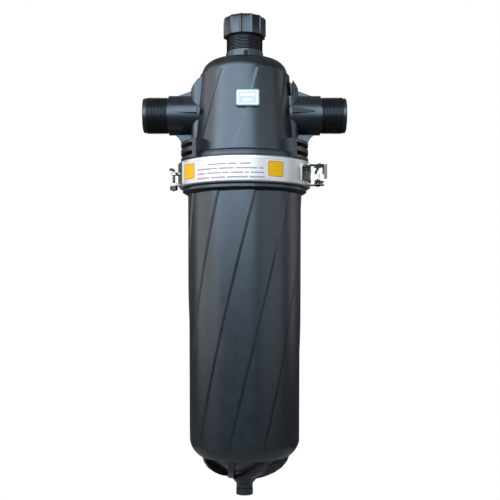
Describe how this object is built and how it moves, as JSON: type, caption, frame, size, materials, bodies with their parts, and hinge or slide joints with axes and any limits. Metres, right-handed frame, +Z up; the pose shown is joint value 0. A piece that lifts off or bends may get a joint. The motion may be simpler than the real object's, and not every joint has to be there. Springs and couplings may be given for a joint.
{
  "type": "disc filter",
  "caption": "In-line disc filter with a T-shaped head, two threaded side ports, a capped top port, a long twisted-panel bowl, a stainless band clamp with toggle latch and a drain plug.",
  "frame": {"origin": "on the filter's vertical axis, at the foot of the drain plug", "axes": "+Z up along the bowl's axis, +X out of the outlet port, -Y to the front with the plate"},
  "size_m": [0.3336, 0.2166, 0.7865],
  "materials": {
    "black_plastic": "moulded glass-filled plastic, satin",
    "stainless": "bright rolled stainless sheet",
    "spring_wire": "drawn wire",
    "plate_metal": "satin silver",
    "seal_rubber": "smooth",
    "disc_plastic": "fine grooves",
    "inner_plastic": "moulded"
  },
  "bodies": {
    "filter": {"filter_bowl": "black_plastic", "drain_plug": "black_plastic", "drain_plug_seal": "seal_rubber", "filter_head": "black_plastic", "head_plate": "plate_metal", "test_point_plug": "black_plastic", "port_cap": "black_plastic", "port_cap_gasket": "seal_rubber", "clamp_band_front": "stainless", "clamp_band_rear": "stainless", "latch_base": "stainless", "latch_pivot_pins": "stainless", "latch_hook": "stainless", "hinge_bracket_front": "stainless", "hinge_bracket_rear": "stainless", "hinge_pin": "spring_wire", "hinge_nut": "spring_wire", "clamp_rivets": "stainless", "body_seal": "seal_rubber", "cartridge_spine": "inner_plastic", "cartridge_seal": "seal_rubber", "disc_stack": "disc_plastic", "cartridge_base": "inner_plastic", "cartridge_nut": "inner_plastic", "swirl_ring": "inner_plastic"},
    "toggle_lever": {"latch_lever": "stainless"},
    "wire_bail": {"latch_bail": "spring_wire"}
  },
  "joints": [
    {"name": "latch_lever_swing", "type": "hinge", "parent": "filter", "child": "toggle_lever", "pos_m": [0.12, -0.013, 0.525], "axis": [0, 0, 1], "range_deg": [0, 120]},
    {"name": "latch_bail_swing", "type": "hinge", "parent": "toggle_lever", "child": "wire_bail", "pos_m": [0.119, -0.025, 0.525], "axis": [0, 0, 1], "range_deg": [-90, 0]}
  ],
  "couplings": [
    {"joint": "latch_bail_swing", "follows": "latch_lever_swing", "ratio": -0.75}
  ]
}
